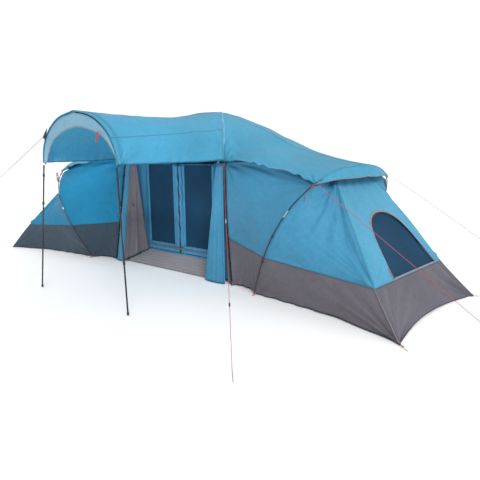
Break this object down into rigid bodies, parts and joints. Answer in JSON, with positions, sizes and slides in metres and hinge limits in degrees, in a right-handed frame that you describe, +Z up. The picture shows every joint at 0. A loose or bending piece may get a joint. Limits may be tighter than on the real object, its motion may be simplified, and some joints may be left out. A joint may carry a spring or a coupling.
{
  "type": "tunnel tent",
  "caption": "Family tunnel tent with a standing hub, a front canopy on two uprights and two angled sleeping wings, each with an arched mesh window.",
  "frame": {"origin": "on the ground under the crossing of the two hub poles", "axes": "+X to the right wing seen from the canopy, -Y out through the door to the canopy, +Z up"},
  "size_m": [7.7687, 4.301, 2.0006],
  "materials": {
    "roof_fabric": "coated polyester, matt",
    "wall_fabric": "coated polyester, matt",
    "skirt_fabric": "coated polyester, matt",
    "insect_mesh": "fine polyester mesh",
    "groundsheet": "coated groundsheet, matt",
    "inner_fabric": "light inner polyester",
    "pole_black": "black glass fibre, satin",
    "steel": "plated steel wire",
    "rope_red": "braided cord",
    "runner_black": "moulded plastic"
  },
  "bodies": {
    "tent": {"hub_pole_upper": "pole_black", "hub_pole_lower": "pole_black", "canopy_arch": "pole_black", "wing_arch_right": "pole_black", "wing_arch_left": "pole_black", "hub_pin_front_right": "steel", "hub_pin_front_left": "steel", "hub_pin_rear_right": "steel", "hub_pin_rear_left": "steel", "arch_pin_front_right": "steel", "arch_pin_front_left": "steel", "arch_pin_rear_right": "steel", "arch_pin_rear_left": "steel", "peg_canopy_left": "steel", "peg_hub_right": "steel", "peg_wing_front": "steel", "peg_wing_rear": "steel", "roof_canopy": "roof_fabric", "roof_rear": "roof_fabric", "roof_wing_right": "roof_fabric", "roof_wing_left": "roof_fabric", "wall_front_right": "wall_fabric", "skirt_front_right": "skirt_fabric", "wall_rear_right": "wall_fabric", "skirt_rear_right": "skirt_fabric", "wall_end_right": "wall_fabric", "skirt_end_right": "skirt_fabric", "end_window_right": "insect_mesh", "door_curtain_right": "wall_fabric", "groundsheet_wing_right": "groundsheet", "bedroom_divider_right": "inner_fabric", "wall_front_left": "wall_fabric", "skirt_front_left": "skirt_fabric", "wall_rear_left": "wall_fabric", "skirt_rear_left": "skirt_fabric", "wall_end_left": "wall_fabric", "skirt_end_left": "skirt_fabric", "end_window_left": "insect_mesh", "door_curtain_left": "wall_fabric", "groundsheet_wing_left": "groundsheet", "bedroom_divider_left": "inner_fabric", "wall_rear_hub": "wall_fabric", "door_surround": "wall_fabric", "skirt_rear_hub": "skirt_fabric", "groundsheet_hub": "groundsheet", "door_sill": "groundsheet", "guy_rope_canopy_left": "rope_red", "guy_rope_hub_right": "rope_red", "guy_rope_wing_front": "rope_red", "guy_rope_wing_rear": "rope_red", "guy_hank_left": "rope_red"},
    "canopy_upright_left": {"canopy_upright_left": "pole_black"},
    "canopy_upright_right": {"canopy_upright_right": "pole_black"},
    "door_zip_slider": {"door_zip_slider": "steel"},
    "mesh_door_left": {"mesh_door_left": "insect_mesh"},
    "mesh_door_right": {"mesh_door_right": "insect_mesh"},
    "rope_runner_canopy_left": {"rope_runner_canopy_left": "runner_black"},
    "rope_runner_hub_right": {"rope_runner_hub_right": "runner_black"},
    "rope_runner_wing_front": {"rope_runner_wing_front": "runner_black"},
    "rope_runner_wing_rear": {"rope_runner_wing_rear": "runner_black"}
  },
  "joints": [
    {"name": "mesh_door_right_swing", "type": "hinge", "parent": "tent", "child": "mesh_door_right", "pos_m": [0.565, -0.875, 0.75], "axis": [0, 0, -1], "range_deg": [0, 95]},
    {"name": "mesh_door_left_swing", "type": "hinge", "parent": "tent", "child": "mesh_door_left", "pos_m": [-0.565, -0.875, 0.75], "axis": [0, 0, 1], "range_deg": [0, 95]},
    {"name": "door_zip_slide", "type": "slide", "parent": "mesh_door_right", "child": "door_zip_slider", "axis": [0, 0, 1], "range_m": [0, 1.05]},
    {"name": "canopy_upright_right_swing", "type": "hinge", "parent": "tent", "child": "canopy_upright_right", "pos_m": [0.58, -2.292, 1.342], "axis": [1, 0, 0], "range_deg": [-12, 12]},
    {"name": "canopy_upright_left_swing", "type": "hinge", "parent": "tent", "child": "canopy_upright_left", "pos_m": [-0.58, -2.292, 1.342], "axis": [1, 0, 0], "range_deg": [-12, 12]},
    {"name": "rope_runner_canopy_left_slide", "type": "slide", "parent": "tent", "child": "rope_runner_canopy_left", "axis": [-0.7743, -0.2724, -0.5711], "range_m": [-0.3, 0.3]},
    {"name": "rope_runner_hub_right_slide", "type": "slide", "parent": "tent", "child": "rope_runner_hub_right", "axis": [0.5118, -0.6512, -0.5604], "range_m": [-0.3, 0.3]},
    {"name": "rope_runner_wing_front_slide", "type": "slide", "parent": "tent", "child": "rope_runner_wing_front", "axis": [0.8352, -0.203, -0.5111], "range_m": [-0.3, 0.3]},
    {"name": "rope_runner_wing_rear_slide", "type": "slide", "parent": "tent", "child": "rope_runner_wing_rear", "axis": [0.8453, -0.1562, -0.511], "range_m": [-0.3, 0.3]}
  ]
}
